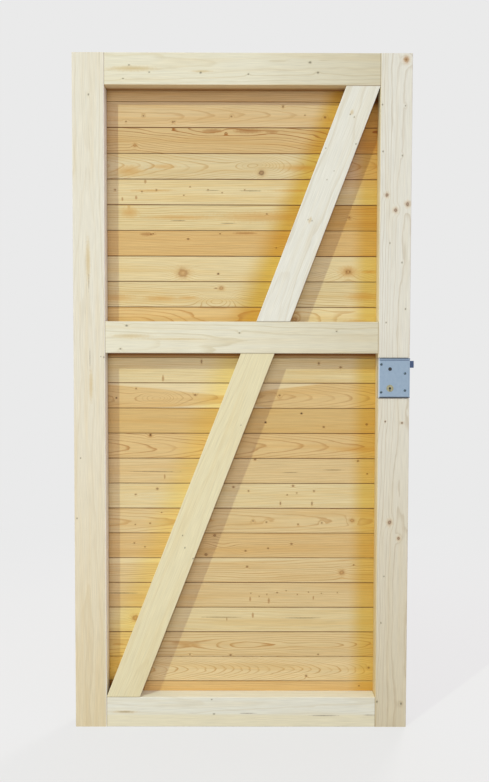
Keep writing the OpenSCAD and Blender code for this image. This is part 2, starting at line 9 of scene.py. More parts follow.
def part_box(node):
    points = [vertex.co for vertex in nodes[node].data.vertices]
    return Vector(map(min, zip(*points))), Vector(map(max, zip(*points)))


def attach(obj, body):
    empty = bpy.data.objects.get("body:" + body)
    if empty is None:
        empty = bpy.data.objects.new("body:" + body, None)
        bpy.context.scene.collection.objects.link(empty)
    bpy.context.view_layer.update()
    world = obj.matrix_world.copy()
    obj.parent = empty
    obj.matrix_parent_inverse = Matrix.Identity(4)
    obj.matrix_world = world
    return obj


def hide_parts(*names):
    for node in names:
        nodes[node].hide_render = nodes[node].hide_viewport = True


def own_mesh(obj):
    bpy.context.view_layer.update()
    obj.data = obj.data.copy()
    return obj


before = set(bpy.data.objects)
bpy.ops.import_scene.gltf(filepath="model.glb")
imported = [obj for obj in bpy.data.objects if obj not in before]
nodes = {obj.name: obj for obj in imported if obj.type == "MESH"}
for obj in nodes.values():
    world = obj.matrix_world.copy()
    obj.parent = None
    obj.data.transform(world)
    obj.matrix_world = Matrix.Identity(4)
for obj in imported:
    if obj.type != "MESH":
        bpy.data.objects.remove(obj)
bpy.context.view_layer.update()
mm = 0.001
print("frame loaded:", len(nodes), "nodes")


def hexColor(code):
    parts = [int(code[i:i + 2], 16) / 255 for i in (1, 3, 5)]
    linear = [p / 12.92 if p <= 0.04045 else ((p + 0.055) / 1.055) ** 2.4 for p in parts]
    return (*linear, 1.0)


def leafBox(name):
    # lowest and highest corner of a piece, in millimetres
    return [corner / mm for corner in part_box(name)]


def put(tree, kind, values=None, **settings):
    node = tree.nodes.new("ShaderNode" + kind)
    for key, value in settings.items():
        setattr(node, key, value)
    for key, value in (values or {}).items():
        if isinstance(value, bpy.types.NodeSocket):
            tree.links.new(value, node.inputs[key])
        else:
            node.inputs[key].default_value = value
    return node


def newGroup(name, inputs, outputs):
    tree = bpy.data.node_groups.new(name, "ShaderNodeTree")
    for label, kind in inputs:
        tree.interface.new_socket(label, in_out="INPUT", socket_type="NodeSocket" + kind)
    for label, kind in outputs:
        tree.interface.new_socket(label, in_out="OUTPUT", socket_type="NodeSocket" + kind)
    return tree, tree.nodes.new("NodeGroupInput").outputs


def newMaterial(name):
    material = bpy.data.materials.new(name)
    material.use_nodes = True
    tree = material.node_tree
    tree.nodes.clear()
    shader = put(tree, "BsdfPrincipled")
    put(tree, "OutputMaterial", {"Surface": shader.outputs[0]})
    return material, tree, shader


# Camera, from the leaf's edges in the 489 x 782 picture
cameraView = {
    "place": (4.0, -2125.6, 1109.1),  # mm
    "turn": -0.126, "tilt": 87.94, "roll": 0.13,  # degrees
    "focalPixels": 693.0, "longSidePixels": 782, "sensor": 36.0}
camera = bpy.data.objects.new("camera", bpy.data.cameras.new("camera"))
bpy.context.scene.collection.objects.link(camera)
camera.data.sensor_width = cameraView["sensor"]
camera.data.lens = cameraView["focalPixels"] / cameraView["longSidePixels"] * cameraView["sensor"]
camera.matrix_world = (
    Matrix.Translation(Vector(cameraView["place"]) * mm)
    @ Matrix.Rotation(math.radians(cameraView["turn"]), 4, "Z")
    @ Matrix.Rotation(math.radians(cameraView["tilt"]), 4, "X")
    @ Matrix.Rotation(math.radians(cameraView["roll"]), 4, "Z"))
bpy.context.scene.camera = camera
bpy.context.scene.view_settings.view_transform = "Standard"
print("camera placed")

# One mark in the wood: distance in radii from its middle, and how far it lifts the rings around it.
# Marks are chained, so the nearest one wins and the lifts add up.
markShape = {
    "waverSize": 50 / 7, "waver": 0.7, "least": 0.65,  # the outline wavers over 7 mm, in shares of the radius
    "fall": -0.12}  # how fast the lift fades, with the square of the distance
markGroup, mark = newGroup(
    "grainMark",
    [("Point", "Vector"), ("Middle", "Vector"), ("Squeeze", "Vector"), ("Size", "Float"),
     ("Push", "Float"), ("Near", "Float"), ("Lift", "Float")],
    [("Near", "Float"), ("Lift", "Float")])
offset = put(markGroup, "VectorMath", {0: mark["Point"], 1: mark["Middle"]}, operation="SUBTRACT")
squeezed = put(markGroup, "VectorMath", {0: offset.outputs[0], 1: mark["Squeeze"]}, operation="MULTIPLY")
fromMiddle = put(markGroup, "VectorMath", {0: squeezed.outputs[0]}, operation="LENGTH")
radii = put(markGroup, "Math", {0: fromMiddle.outputs["Value"], 1: mark["Size"]}, operation="DIVIDE")
ragged = put(markGroup, "TexNoise", {"Vector": mark["Point"], "Scale": 1 / markShape["waverSize"],
                                     "Detail": 1.0})
uneven = put(markGroup, "Math", {0: ragged.outputs["Fac"], 1: markShape["waver"], 2: markShape["least"]},
             operation="MULTIPLY_ADD")
distance = put(markGroup, "Math", {0: radii.outputs[0], 1: uneven.outputs[0]}, operation="MULTIPLY")
nearest = put(markGroup, "Math", {0: distance.outputs[0], 1: mark["Near"]}, operation="MINIMUM")
square = put(markGroup, "Math", {0: radii.outputs[0], 1: radii.outputs[0]}, operation="MULTIPLY")
fall = put(markGroup, "Math", {0: square.outputs[0], 1: markShape["fall"]}, operation="MULTIPLY")
swell = put(markGroup, "Math", {0: fall.outputs[0]}, operation="EXPONENT")
lifted = put(markGroup, "Math", {0: swell.outputs[0], 1: mark["Push"], 2: mark["Lift"]},
             operation="MULTIPLY_ADD")
markOut = markGroup.nodes.new("NodeGroupOutput")
markGroup.links.new(nearest.outputs[0], markOut.inputs["Near"])
markGroup.links.new(lifted.outputs[0], markOut.inputs["Lift"])

# Growth rings round a pith that runs along X, in millimetres: late wood, slow tone and fine fibre.
# The fibre is drawn far coarser than life, so that it shows.
ringShape = {
    "noiseSizes": {"wander": (420, 80, 80), "ripple": (75, 16, 16), "tone": (380, 20, 20),
                   "fibre": (70, 1.6, 1.6)},  # mm along and across the grain
    "ripens": (0.66, 0.92), "stops": (0.93, 1.0),  # parts of a year in which late wood comes and ends
    "vigour": 0.65, "leastVigour": 0.35}  # no two years end equally dark
ringGroup, ring = newGroup(
    "growthRings",
    [("Point", "Vector"), ("Pith", "Vector"), ("Seed", "Vector"), ("Width", "Float"), ("Taper", "Float"),
     ("Wander", "Float"), ("Ripple", "Float"), ("Lift", "Float")],
    [("Late", "Float"), ("Tone", "Float"), ("Fibre", "Float")])
seeded = put(ringGroup, "VectorMath", {0: ring["Point"], 1: ring["Seed"]}, operation="ADD")
noises = {}
for label, size in ringShape["noiseSizes"].items():
    spread = put(ringGroup, "VectorMath", {0: seeded.outputs[0], 1: [1 / s for s in size]},
                 operation="MULTIPLY")
    noises[label] = put(ringGroup, "TexNoise", {"Vector": spread.outputs[0], "Scale": 1.0, "Detail": 2.0})
fromPith = put(ringGroup, "VectorMath", {0: ring["Point"], 1: ring["Pith"]}, operation="SUBTRACT")
acrossOnly = put(ringGroup, "VectorMath", {0: fromPith.outputs[0], 1: (0, 1, 1)}, operation="MULTIPLY")
radius = put(ringGroup, "VectorMath", {0: acrossOnly.outputs[0]}, operation="LENGTH")
along = put(ringGroup, "SeparateXYZ", {0: ring["Point"]})
tapered = put(ringGroup, "Math", {0: along.outputs["X"], 1: ring["Taper"], 2: radius.outputs["Value"]},
              operation="MULTIPLY_ADD")
swing = put(ringGroup, "Math", {0: noises["wander"].outputs["Fac"], 1: 0.5}, operation="SUBTRACT")
wandered = put(ringGroup, "Math", {0: swing.outputs[0], 1: ring["Wander"], 2: tapered.outputs[0]},
               operation="MULTIPLY_ADD")
rippled = put(ringGroup, "Math", {0: noises["ripple"].outputs["Fac"], 1: ring["Ripple"],
                                  2: wandered.outputs[0]}, operation="MULTIPLY_ADD")
pushed = put(ringGroup, "Math", {0: rippled.outputs[0], 1: ring["Lift"]}, operation="ADD")
years = put(ringGroup, "Math", {0: pushed.outputs[0], 1: ring["Width"]}, operation="DIVIDE")
season = put(ringGroup, "Math", {0: years.outputs[0]}, operation="FRACT")
yearNumber = put(ringGroup, "Math", {0: years.outputs[0]}, operation="FLOOR")
yearChance = put(ringGroup, "TexWhiteNoise", {"W": yearNumber.outputs[0]}, noise_dimensions="1D")
firstRipe, fullRipe = ringShape["ripens"]
ripening = put(ringGroup, "MapRange", {"Value": season.outputs[0], "From Min": firstRipe,
                                       "From Max": fullRipe}, interpolation_type="SMOOTHSTEP")
lastRipe, yearEnd = ringShape["stops"]
winter = put(ringGroup, "MapRange", {"Value": season.outputs[0], "From Min": lastRipe, "From Max": yearEnd,
                                     "To Min": 1.0, "To Max": 0.0}, interpolation_type="SMOOTHSTEP")
band = put(ringGroup, "Math", {0: ripening.outputs[0], 1: winter.outputs[0]}, operation="MULTIPLY")
vigour = put(ringGroup, "Math", {0: yearChance.outputs["Value"], 1: ringShape["vigour"],
                                 2: ringShape["leastVigour"]}, operation="MULTIPLY_ADD")
late = put(ringGroup, "Math", {0: band.outputs[0], 1: vigour.outputs[0]}, operation="MULTIPLY")
ringOut = ringGroup.nodes.new("NodeGroupOutput")
ringGroup.links.new(late.outputs[0], ringOut.inputs["Late"])
ringGroup.links.new(noises["tone"].outputs["Fac"], ringOut.inputs["Tone"])
ringGroup.links.new(noises["fibre"].outputs["Fac"], ringOut.inputs["Fibre"])

# Kinds of mark: stretch along the grain, push on the rings, and a ramp by distance in radii over rampReach,
# as (place, colour, strength). A swell only bends the rings: one with a negative radius is a dip that closes
# them into an eye.
rampReach = 3.0
farAway = 99.0
markKinds = {
    "swells": {"stretch": 6.0, "push": 1.8},
    "streaks": {"stretch": 9.0, "push": 0.0, "ramp": [
        (0.00, "#cc9648", 0.62), (0.28, "#d09f52", 0.45), (0.60, "#d8ad66", 0.0)]},
    "resin": {"stretch": 9.0, "push": 0.0, "ramp": [
        (0.00, "#c9ab6c", 0.60), (0.28, "#cfb478", 0.42), (0.60, "#d8c190", 0.0)]},
    "flames": {"stretch": 7.0, "push": 0.0, "ramp": [
        (0.00, "#a06a34", 0.70), (0.30, "#a8733a", 0.55), (0.50, "#b8864c", 0.0)]},
    "paleKnots": {"stretch": 1.2, "push": 1.2, "ramp": [
        (0.00, "#c79a5c", 0.60), (0.15, "#b5803f", 0.70), (0.30, "#a06c34", 0.70), (0.42, "#bd8d4c", 0.45),
        (0.62, "#c99c5c", 0.20), (0.95, "#d0a868", 0.0)]},
    "knots": {"stretch": 1.15, "push": 1.3, "ramp": [
        (0.00, "#9c7040", 0.66), (0.14, "#8a5c30", 0.74), (0.25, "#6c4826", 0.78), (0.34, "#b0834a", 0.42),
        (0.54, "#c8a062", 0.22), (0.85, "#d2ae74", 0.0)]},
    "specks": {"stretch": 1.3, "push": 1.0, "ramp": [
        (0.00, "#5f5642", 0.75), (0.18, "#5c523e", 0.70), (0.30, "#8d8264", 0.42), (0.50, "#c9bd9c", 0.15),
        (0.80, "#d8ccb0", 0.0)]},
    "blackKnots": {"stretch": 1.2, "push": 1.3, "ramp": [
        (0.00, "#4a2f1a", 0.90), (0.20, "#38220f", 0.92), (0.32, "#6a4524", 0.70), (0.42, "#b0834a", 0.40),
        (0.80, "#d2ae74", 0.0)]},
    "checks": {"stretch": 40.0, "push": 0.0, "ramp": [
        (0.00, "#5a3d20", 0.75), (0.30, "#66472a", 0.60), (0.50, "#755534", 0.0)]}}

# Painted light and shade on the boards, lengths in millimetres. A deeper amber left of the lock stile and
# left of each brace is painted warm bounce light off their lit sides; painted shade darkens the corners where
# the boards run in under the frame and the nooks beside the braces' ends.
margins = {
    # the three ambers are painted bounce light, the corner and the nooks painted shade
    "colours": {"lock_stile": "#f5e5a1", "upper_brace": "#ecd680", "lower_brace": "#fffad4",
                "corner": "#a2805d", "upper_brace_nook": "#f9e9e9", "lower_brace_nook": "#fff3c8"},
    "stileReach": (86, 28),  # how far from the lock stile the amber starts, and where it is full
    "braceReach": {"upper_brace": (120, 75), "lower_brace": (110, 110)},  # at a brace's foot and head
    "braceFull": 0.15, "cornerFull": 0.3,  # parts of a reach in which the tint is full
    "braceWidth": 95, "leanSteps": 8, "footDrop": 40,  # the amber runs on below a brace's foot
    # painted corner shade: axis, side of the timber's box, reach and strength
    "corners": {"top_rail": ("Z", 0, 7, 0.2), "mid_rail": ("Z", 0, 15, 1.0), "hinge_stile": ("X", 1, 4, 0.2)},
    # painted shade along each brace's right side: reach and strength
    "braceCorner": (7, 0.5),
    # painted shade in the nooks right of a brace's head (1) or left of its foot (0): start and full shade,
    # start and full dark tip
    "nooks": {"upper_brace": (1, (-330, -250), (-60, -25)), "lower_brace": (0, (150, 90), (50, 15))},
    "depth": (6, 1)}  # behind the boards' inner face: where the tint ends, and up to where it is full
marginGroup, margin = newGroup("shelteredMargin", [("Point", "Vector")],
                               [(label, "Float") for label in margins["colours"]])
leafSpot = put(marginGroup, "SeparateXYZ", {0: margin["Point"]}).outputs
stileEdge = leafBox("lock_stile")[0].x
amberStart, amberFull = margins["stileReach"]
shares = {"lock_stile": put(
    marginGroup, "MapRange", {"Value": leafSpot["X"], "From Min": stileEdge - amberStart,
                              "From Max": stileEdge - amberFull}, interpolation_type="SMOOTHSTEP")}


def cornerShade(away, reach, strength):
    # fades over its reach on both sides of a line
    either = put(marginGroup, "Math", {0: away.outputs[0]}, operation="ABSOLUTE")
    return put(marginGroup, "MapRange", {"Value": either.outputs[0], "From Min": reach,
                                         "From Max": reach * margins["cornerFull"], "To Max": strength})


corners = []
for name, (axis, side, reach, strength) in margins["corners"].items():
    timberEdge = leafBox(name)[side]["XYZ".index(axis)]
    away = put(marginGroup, "Math", {0: leafSpot[axis], 1: timberEdge}, operation="SUBTRACT")
    corners.append(cornerShade(away, reach, strength))
braceLeans = {}
for name, (footReach, headReach) in margins["braceReach"].items():
    low, high = leafBox(name)
    cut = margins["braceWidth"]
    for step in range(margins["leanSteps"]):  # the level cut is wider than the brace by its lean
        slope = (high.x - low.x - cut) / (high.z - low.z)
        cut = margins["braceWidth"] * math.hypot(1, slope)
    braceLeans[name] = math.degrees(math.atan(slope))
    leftEdge = put(marginGroup, "Math", {0: leafSpot["Z"], 1: slope, 2: low.x - slope * low.z},
                   operation="MULTIPLY_ADD")
    gap = put(marginGroup, "Math", {0: leftEdge.outputs[0], 1: leafSpot["X"]},
              operation="SUBTRACT").outputs[0]
    amberReach = put(marginGroup, "MapRange", {"Value": leafSpot["Z"], "From Min": low.z, "From Max": high.z,
                                               "To Min": footReach, "To Max": headReach})
    reached = put(marginGroup, "Math", {0: gap, 1: amberReach.outputs[0]}, operation="DIVIDE")
    beside = put(marginGroup, "MapRange", {"Value": reached.outputs[0], "From Min": 1.0,
                                           "From Max": margins["braceFull"]}, interpolation_type="SMOOTHSTEP")
    leftOnly = put(marginGroup, "Math", {0: gap, 1: -cut / 2}, operation="GREATER_THAN")
    below = put(marginGroup, "Math", {0: leafSpot["Z"], 1: high.z}, operation="LESS_THAN")
    above = put(marginGroup, "Math", {0: leafSpot["Z"], 1: low.z - margins["footDrop"]},
                operation="GREATER_THAN")
    panel = put(marginGroup, "Math", {0: below.outputs[0], 1: above.outputs[0]}, operation="MULTIPLY")
    here = put(marginGroup, "Math", {0: beside.outputs[0], 1: leftOnly.outputs[0]}, operation="MULTIPLY")
    shares[name] = put(marginGroup, "Math", {0: here.outputs[0], 1: panel.outputs[0]}, operation="MULTIPLY")
    end, shade, tip = margins["nooks"][name]
    nookEnd = (low, high)[end].z
    nookSide = put(marginGroup, "Math", {0: gap, 1: -cut / 2},
                   operation="LESS_THAN" if end else "GREATER_THAN")
    nookShares = []
    for nookStart, nookFull in (shade, tip):
        deeper = put(marginGroup, "MapRange", {"Value": leafSpot["Z"], "From Min": nookEnd + nookStart,
                                               "From Max": nookEnd + nookFull},
                     interpolation_type="SMOOTHSTEP")
        nookShares.append(put(marginGroup, "Math", {0: deeper.outputs[0], 1: nookSide.outputs[0]},
                              operation="MULTIPLY"))
    shares[name + "_nook"] = nookShares[0]
    corners.append(nookShares[1])
    fromRight = put(marginGroup, "Math", {0: gap, 1: cut}, operation="ADD")
    close = cornerShade(fromRight, *margins["braceCorner"])
    corners.append(put(marginGroup, "Math", {0: close.outputs[0], 1: panel.outputs[0]}, operation="MULTIPLY"))
shares["corner"] = corners[0]
for corner in corners[1:]:
    shares["corner"] = put(marginGroup, "Math", {0: shares["corner"].outputs[0], 1: corner.outputs[0]},
                           operation="MAXIMUM")
innerFace = leafBox("board_10")[0].y
tintEnd, tintFull = margins["depth"]
faceShare = put(marginGroup, "MapRange", {"Value": leafSpot["Y"], "From Min": innerFace + tintEnd,
                                          "From Max": innerFace + tintFull})
marginOut = marginGroup.nodes.new("NodeGroupOutput")
for label, share in shares.items():
    onFace = put(marginGroup, "Math", {0: share.outputs[0], 1: faceShare.outputs[0]}, operation="MULTIPLY")
    marginGroup.links.new(onFace.outputs[0], marginOut.inputs[label])

# Planed conifer wood, left bare. Spruce is nearly white with faint bands, pine is straw to amber with dark
# late wood: soft bands along the grain, brown knots that bend them, and a dull silky face.
woodTones = {
    "cream": {"early": "#eae8db", "late": "#d2c5a5", "warm": "#e5dabc", "contrast": 0.60, "warmth": 0.45},
    "ivory": {"early": "#e8e3cf", "late": "#d0c29e", "warm": "#e4d7b6", "contrast": 0.60, "warmth": 0.45},
    "grey": {"early": "#e9e6dc", "late": "#c0af94", "warm": "#e4dcc8", "contrast": 0.55, "warmth": 0.45},
    "white": {"early": "#ebe9df", "late": "#d9d0bb", "warm": "#e8e1cd", "contrast": 0.60, "warmth": 0.45},
    "butter": {"early": "#e9dfbb", "late": "#d2c094", "warm": "#e3d2a4", "contrast": 0.60, "warmth": 0.5},
    "pale": {"early": "#e6d4a6", "late": "#c08e46", "warm": "#dab978", "contrast": 0.82, "warmth": 0.5},
    "straw": {"early": "#e1c896", "late": "#b67e38", "warm": "#d6af70", "contrast": 0.86, "warmth": 0.5},
    "honey": {"early": "#dfc088", "late": "#a86a28", "warm": "#d3a660", "contrast": 0.90, "warmth": 0.45},
    "orange": {"early": "#debb7e", "late": "#a86b26", "warm": "#d4a258", "contrast": 0.90, "warmth": 0.5}}
woodSurface = {
    "warmRange": (0.40, 0.75), "fibreRange": (0.3, 0.7),  # of their noises
    "fibreShade": (0.89, 1.05), "roughness": (0.52, 0.68), "specular": 0.3,
    "lateRelief": 0.6, "bump": 0.25, "bumpDepth": 0.2,  # late wood stands a little proud, depth in mm
    "sapShare": 0.8, "sapWave": 12.0, "sapBlend": 3.0,  # mm that a sapwood border waves, and half its blend
    "ripple": 3.0}  # mm, where a look has none of its own
lineSoftness = (1.3, 0.7)  # parts of a line's half width, where it fades out and where it is full
# painted shade: the colour for the inside of bores
boreShadeColour = "#0c0805"

# The lock's two ways in leaf millimetres: x, z and the radius within which painted shade shows dark
lockAxes = {"spindleWay": (447.5, 1101, 9.3), "keyWay": (447.5, 1043, 9.3), "spindleHole": (447.5, 1101, 5.4)}

# A timber's side face, with painted light and shade: how far from the middle it starts, and the depths
# between which its tint changes
edgeSides = {"across": 46.0, "front": -4.0, "back": 12.0}


def addMarks(tree, point, kind, places, spin, shift, lift):
    style = markKinds[kind]
    near = None
    for x, z, size, *own in places:
        middle = spin @ Vector((x, 0, z)) + shift
        stretch = own[0] if own else style["stretch"]
        push = style["push"] * size * min(stretch, 1) ** 2
        step = put(tree, "Group", {"Point": point, "Middle": (middle.x, 0, middle.z),
                                   "Squeeze": (1 / stretch, 0, 1), "Size": size, "Push": push,
                                   "Near": farAway if near is None else near, "Lift": lift},
                   node_tree=markGroup)
        near, lift = step.outputs["Near"], step.outputs["Lift"]
    return near, lift


def bandWood(tree, look, rings):
    # early and late wood with slow warm patches; a stain shifts all three a little
    tone = woodTones[look["tone"]]
    stain = hexColor(look.get("stain", "#ffffff"))
    early, lateWood, warm = ([a * b for a, b in zip(hexColor(tone[part]), stain)]
                             for part in ("early", "late", "warm"))
    lateShare = put(tree, "Math", {0: rings["Late"], 1: tone["contrast"] * look.get("figure", 1.0)},
                    operation="MULTIPLY")
    banded = put(tree, "Mix", {"Factor": lateShare.outputs[0], 6: early, 7: lateWood}, data_type="RGBA")
    cool, full = woodSurface["warmRange"]
    warmShare = put(tree, "MapRange", {"Value": rings["Tone"], "From Min": cool, "From Max": full,
                                       "To Max": tone["warmth"]}, interpolation_type="SMOOTHSTEP")
    return put(tree, "Mix", {"Factor": warmShare.outputs[0], 6: banded.outputs[2], 7: warm},
               data_type="RGBA").outputs[2]


def addSapwood(tree, look, grainSpot, rings, colour):
    # pale sapwood above (1) or below (-1) each of its borders, which lean along the board
    wave, blend = woodSurface["sapWave"], woodSurface["sapBlend"]
    for code, *borders in look.get("sap", []):
        sapShare = woodSurface["sapShare"]
        for side, rise, lean in borders:
            line = put(tree, "Math", {0: grainSpot["X"], 1: -lean, 2: grainSpot["Z"]},
                       operation="MULTIPLY_ADD")
            wavy = put(tree, "Math", {0: rings["Tone"], 1: wave, 2: line.outputs[0]},
                       operation="MULTIPLY_ADD")
            middle = rise + wave / 2
            sapShare = put(tree, "MapRange", {"Value": wavy.outputs[0], "From Min": middle - blend * side,
                                              "From Max": middle + blend * side,
                                              "To Max": sapShare}).outputs[0]
        colour = put(tree, "Mix", {"Factor": sapShare, 6: colour, 7: hexColor(code)},
                     data_type="RGBA").outputs[2]
    return colour


def tintTowardsEnd(tree, look, grainSpot, colour):
    # a tint multiplied in towards one end along the grain: on the frame timbers painted shade where the light
    # falls off, on the boards only a darker end
    for start, full, code in look.get("endTint", []):
        endTint = put(tree, "MapRange", {"Value": grainSpot["X"], "From Min": start, "From Max": full})
        colour = put(tree, "Mix", {"Factor": endTint.outputs[0], 6: colour, 7: hexColor(code)}, data_type="RGBA",
                     blend_type="MULTIPLY").outputs[2]
    return colour


def paintSideLight(tree, look, grainSpot, colour):
    # painted light and shade on a timber's side towards the boards, from its front to them
    if "edge" not in look:
        return colour
    facing, blend, front, back = look["edge"]
    turned = put(tree, "Math", {0: grainSpot["Z"], 1: facing * edgeSides["across"]},
                 operation="GREATER_THAN" if facing > 0 else "LESS_THAN")
    deep = put(tree, "MapRange", {"Value": grainSpot["Y"], "From Min": edgeSides["front"],
                                  "From Max": edgeSides["back"]})
    side = put(tree, "Mix", {"Factor": deep.outputs[0], 6: hexColor(front), 7: hexColor(back)},
               data_type="RGBA")
    return put(tree, "Mix", {"Factor": turned.outputs[0], 6: colour, 7: side.outputs[2]}, data_type="RGBA",
               blend_type=blend).outputs[2]


def colourMarks(tree, found, colour):
    for kind, near in found.items():
        stops = markKinds[kind].get("ramp")
        if not stops:
            continue
        share = put(tree, "Math", {0: near, 1: rampReach}, operation="DIVIDE")
        ramp = put(tree, "ValToRGB", {"Fac": share.outputs[0]})
        while len(ramp.color_ramp.elements) < len(stops):
            ramp.color_ramp.elements.new(1.0)
        for element, (at, code, strength) in zip(ramp.color_ramp.elements, stops):
            element.position = at
            element.color = (*hexColor(code)[:3], strength)
        colour = put(tree, "Mix", {"Factor": ramp.outputs["Alpha"], 6: colour, 7: ramp.outputs["Color"]},
                     data_type="RGBA").outputs[2]
    return colour


def drawLines(tree, point, colour, lines):
    # thin lines across an axis, as (axis, place, half width, colour, strength),
    # wider than life so that they show
    pointSpot = put(tree, "SeparateXYZ", {0: point})
    fade, full = lineSoftness
    for axis, place, half, code, strength in lines:
        offLine = put(tree, "Math", {0: pointSpot.outputs[axis], 1: place}, operation="SUBTRACT")
        away = put(tree, "Math", {0: offLine.outputs[0]}, operation="ABSOLUTE")
        share = put(tree, "MapRange", {"Value": away.outputs[0], "From Min": half * fade,
                                       "From Max": half * full, "To Max": strength})
        colour = put(tree, "Mix", {"Factor": share.outputs[0], 6: colour, 7: hexColor(code)},
                     data_type="RGBA").outputs[2]
    return colour


def paintBoreShade(tree, point, colour, bores):
    # painted shade: the inside of a way through wood or metal, as (x, z, radius), is coloured near black, so
    # that it looks too dark to see into
    for x, z, size in bores:
        offAxis = put(tree, "VectorMath", {0: point, 1: (x, 0, z)}, operation="SUBTRACT")
        flat = put(tree, "VectorMath", {0: offAxis.outputs[0], 1: (1, 0, 1)}, operation="MULTIPLY")
        fromAxis = put(tree, "VectorMath", {0: flat.outputs[0]}, operation="LENGTH")
        inside = put(tree, "Math", {0: fromAxis.outputs["Value"], 1: size}, operation="LESS_THAN")
        colour = put(tree, "Mix", {"Factor": inside.outputs[0], 6: colour, 7: hexColor(boreShadeColour)},
                     data_type="RGBA").outputs[2]
    return colour


def woodMaterial(name, look, turn, middle):
    material, tree, shader = newMaterial(name)
    spin = Matrix.Rotation(math.radians(turn), 3, "Y")  # brings the grain onto X
    shift = -(spin @ middle)
    place = put(tree, "TexCoord")
    leafPoint = put(tree, "VectorMath", {0: place.outputs["Object"], "Scale": 1 / mm},
                    operation="SCALE").outputs[0]
    point = put(tree, "Mapping", {"Vector": leafPoint, "Location": shift,
                                  "Rotation": (0, math.radians(turn), 0)}).outputs[0]
    lift, found = 0.0, {}
    for kind in markKinds:
        if look.get(kind):
            found[kind], lift = addMarks(tree, point, kind, look[kind], spin, shift, lift)
    rings = put(tree, "Group", {"Point": point, "Pith": look["pith"], "Seed": look["seed"],
                                "Width": look["ring"], "Taper": look["taper"], "Wander": look["wander"],
                                "Ripple": look.get("ripple", woodSurface["ripple"]), "Lift": lift},
                node_tree=ringGroup).outputs
    grainSpot = put(tree, "SeparateXYZ", {0: point}).outputs
    colour = bandWood(tree, look, rings)
    colour = addSapwood(tree, look, grainSpot, rings, colour)
    colour = tintTowardsEnd(tree, look, grainSpot, colour)
    colour = paintSideLight(tree, look, grainSpot, colour)
    thin, thick = woodSurface["fibreRange"]
    dark, light = woodSurface["fibreShade"]
    fibreShade = put(tree, "MapRange", {"Value": rings["Fibre"], "From Min": thin, "From Max": thick,
                                        "To Min": dark, "To Max": light})
    colour = put(tree, "VectorMath", {0: colour, "Scale": fibreShade.outputs[0]},
                 operation="SCALE").outputs[0]
    colour = colourMarks(tree, found, colour)
    # painted bounce light and painted shade from the frame, multiplied in
    if look.get("sheltered"):
        shelter = put(tree, "Group", {"Point": leafPoint}, node_tree=marginGroup)
        for label, code in margins["colours"].items():
            colour = put(tree, "Mix", {"Factor": shelter.outputs[label], 6: colour, 7: hexColor(code)},
                         data_type="RGBA", blend_type="MULTIPLY").outputs[2]
    colour = drawLines(tree, leafPoint, colour, look["lines"])
    colour = paintBoreShade(tree, leafPoint, colour, look.get("bores", []))
    tree.links.new(colour, shader.inputs["Base Color"])
    silky, dull = woodSurface["roughness"]
    gloss = put(tree, "MapRange", {"Value": rings["Fibre"], "From Min": thin, "From Max": thick,
                                   "To Min": silky, "To Max": dull})
    tree.links.new(gloss.outputs[0], shader.inputs["Roughness"])
    relief = put(tree, "Math", {0: rings["Late"], 1: woodSurface["lateRelief"], 2: rings["Fibre"]},
                 operation="MULTIPLY_ADD")
    bump = put(tree, "Bump", {"Height": relief.outputs[0], "Strength": woodSurface["bump"],
                              "Distance": woodSurface["bumpDepth"] * mm})
    tree.links.new(bump.outputs[0], shader.inputs["Normal"])
    shader.inputs["Specular IOR Level"].default_value = woodSurface["specular"]
    return material


def dress(name, material):
    piece = nodes[name]
    piece.data.materials.clear()
    piece.data.materials.append(material)
